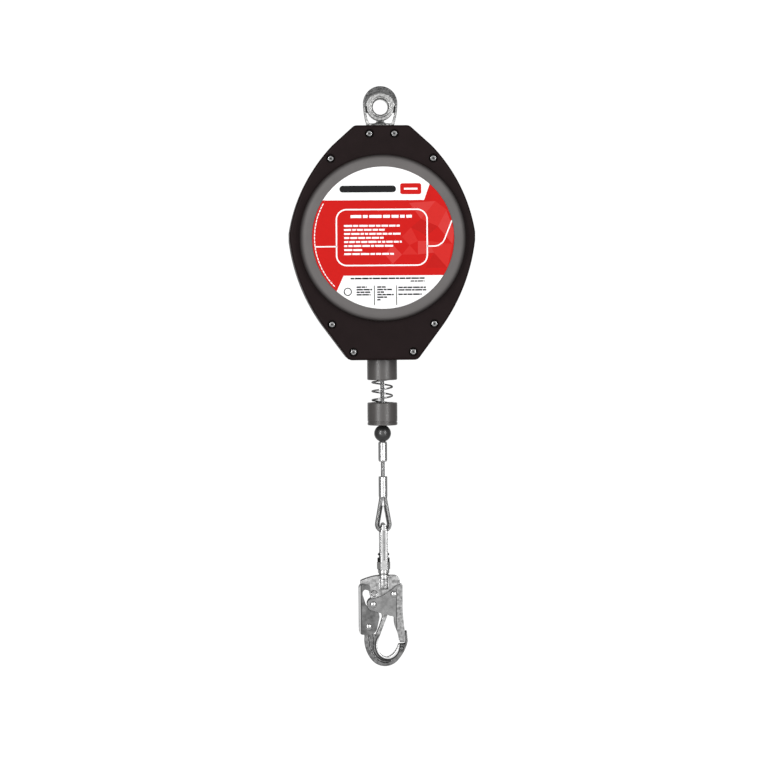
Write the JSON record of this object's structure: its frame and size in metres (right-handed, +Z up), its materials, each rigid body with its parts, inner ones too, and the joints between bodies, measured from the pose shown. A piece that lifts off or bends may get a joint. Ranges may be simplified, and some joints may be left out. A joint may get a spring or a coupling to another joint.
{
  "type": "self retracting lifeline",
  "caption": "Fall arrest block: rounded housing with raised round discs and a swivel eye above; below, a spring buffer, steel rope with thimble eye and a swivelling snap hook.",
  "frame": {"origin": "centre of the anchor eye's hole", "axes": "-Y is the labelled front, +Y runs along the eye's hole to the rear, +X is right seen from the front, +Z is up"},
  "size_m": [0.2208, 0.096, 0.6966],
  "materials": {
    "housing_black": "fine moulded texture",
    "disc_grey": "satin moulded",
    "seal_rubber": "matt",
    "label_print": "printed film, red and white fields",
    "screw_zinc": "zinc plated",
    "insert_brass": "knurled",
    "forged_zinc": "forged and zinc plated",
    "frame_steel": "zinc plated sheet",
    "bush_bronze": "oiled bronze",
    "drum_alloy": "die cast",
    "shaft_steel": "ground",
    "spring_steel": "blued spring steel",
    "lining_brown": "friction lining",
    "rope_steel": "galvanised wire strands",
    "guide_nylon": "natural nylon",
    "sleeve_grey": "moulded rubber",
    "ball_black": "moulded rubber",
    "ferrule_bright": "pressed, bright",
    "hook_zinc": "forged and zinc plated",
    "pressed_zinc": "pressed sheet, zinc plated",
    "rivet_bright": "polished head"
  },
  "bodies": {
    "housing": {"front_shell": "housing_black", "rear_shell": "housing_black", "shell_seal": "seal_rubber", "front_cap": "disc_grey", "rear_cap": "disc_grey", "front_label": "label_print", "housing_screws": "screw_zinc", "screw_inserts": "insert_brass", "top_block": "frame_steel", "frame_plate_front": "frame_steel", "frame_plate_rear": "frame_steel", "frame_pillars": "shaft_steel", "frame_screws": "screw_zinc", "rear_bush": "bush_bronze", "front_bush": "bush_bronze", "spring_case": "frame_steel", "power_spring": "spring_steel", "spring_case_cover": "frame_steel", "brake_linings": "lining_brown", "brake_seat": "frame_steel", "pressure_plate": "frame_steel", "brake_bolts": "screw_zinc", "disc_springs": "spring_steel", "cable_run": "rope_steel", "cable_guide": "guide_nylon", "outlet_sleeve": "sleeve_grey", "buffer_spring": "spring_steel"},
    "anchor": {"anchor_eye": "forged_zinc", "thrust_washer": "bush_bronze", "anchor_nut": "screw_zinc"},
    "drum": {"drum": "drum_alloy", "rope_winding": "rope_steel", "drum_shaft": "shaft_steel", "shaft_clip": "spring_steel", "pawl_carrier": "shaft_steel", "pawl_pins": "shaft_steel", "pawl_stops": "shaft_steel"},
    "pawl_one": {"pawl_1": "shaft_steel"},
    "pawl_two": {"pawl_2": "shaft_steel"},
    "brake": {"brake_ring": "shaft_steel"},
    "buffer": {"buffer_sleeve": "sleeve_grey"},
    "lifeline": {"lifeline_cable": "rope_steel", "stop_ball": "ball_black", "stop_ferrule": "ferrule_bright", "swage_ferrule": "ferrule_bright", "rope_eye": "rope_steel", "thimble": "pressed_zinc"},
    "bail": {"swivel_bail": "forged_zinc"},
    "hook": {"hook_body": "hook_zinc", "swivel_stud": "forged_zinc", "hook_rivets": "rivet_bright", "gate_spring": "spring_steel", "lever_spring": "spring_steel"},
    "gate": {"gate": "pressed_zinc", "lock_studs": "rivet_bright"},
    "lever": {"lock_lever": "pressed_zinc"}
  },
  "joints": [
    {"name": "anchor_swivel", "type": "hinge", "parent": "housing", "child": "anchor", "pos_m": [0, 0, -0.05], "axis": [0, 0, 1], "continuous": true},
    {"name": "lifeline_payout", "type": "slide", "parent": "housing", "child": "lifeline", "axis": [0, 0, -1], "range_m": [0, 0.0701], "stiffness_N_per_m": 30, "springref_m": -0.8},
    {"name": "drum_turn", "type": "hinge", "parent": "housing", "child": "drum", "pos_m": [0, 0, -0.1569], "axis": [0, 1, 0], "range_deg": [0, 68.5], "deforming": ["power_spring"]},
    {"name": "pawl_one_swing", "type": "hinge", "parent": "drum", "child": "pawl_one", "pos_m": [-0.015, -0.034, -0.13092], "axis": [0, -1, 0], "range_deg": [0, 9], "stiffness_Nm_per_rad": 0.05, "springref_deg": -17.19},
    {"name": "pawl_two_swing", "type": "hinge", "parent": "drum", "child": "pawl_two", "pos_m": [0.015, -0.034, -0.18288], "axis": [0, -1, 0], "range_deg": [0, 9], "stiffness_Nm_per_rad": 0.05, "springref_deg": -17.19},
    {"name": "brake_slip", "type": "hinge", "parent": "housing", "child": "brake", "pos_m": [0, 0, -0.1569], "axis": [0, 1, 0], "continuous": true},
    {"name": "buffer_stroke", "type": "slide", "parent": "housing", "child": "buffer", "axis": [0, 0, 1], "range_m": [0, 0.018], "stiffness_N_per_m": 900, "springref_m": -0.002, "deforming": ["buffer_spring"]},
    {"name": "bail_swing", "type": "hinge", "parent": "lifeline", "child": "bail", "pos_m": [0, 0, -0.50225], "axis": [0, 1, 0], "range_deg": [-90, 90]},
    {"name": "hook_swivel", "type": "hinge", "parent": "bail", "child": "hook", "pos_m": [0, 0, -0.55], "axis": [0, 0, 1], "continuous": true},
    {"name": "gate_swing", "type": "hinge", "parent": "hook", "child": "gate", "pos_m": [0.0116, 0, -0.5844], "axis": [0, 1, 0], "range_deg": [0, 20], "stiffness_Nm_per_rad": 0.12, "springref_deg": -34.38},
    {"name": "lever_squeeze", "type": "hinge", "parent": "hook", "child": "lever", "pos_m": [-0.0187, 0, -0.6236], "axis": [0, 1, 0], "range_deg": [0, 5], "stiffness_Nm_per_rad": 0.12, "springref_deg": -34.38}
  ],
  "couplings": [
    {"joint": "drum_turn", "follows": "lifeline_payout", "rad_per_m": 16.807}
  ]
}
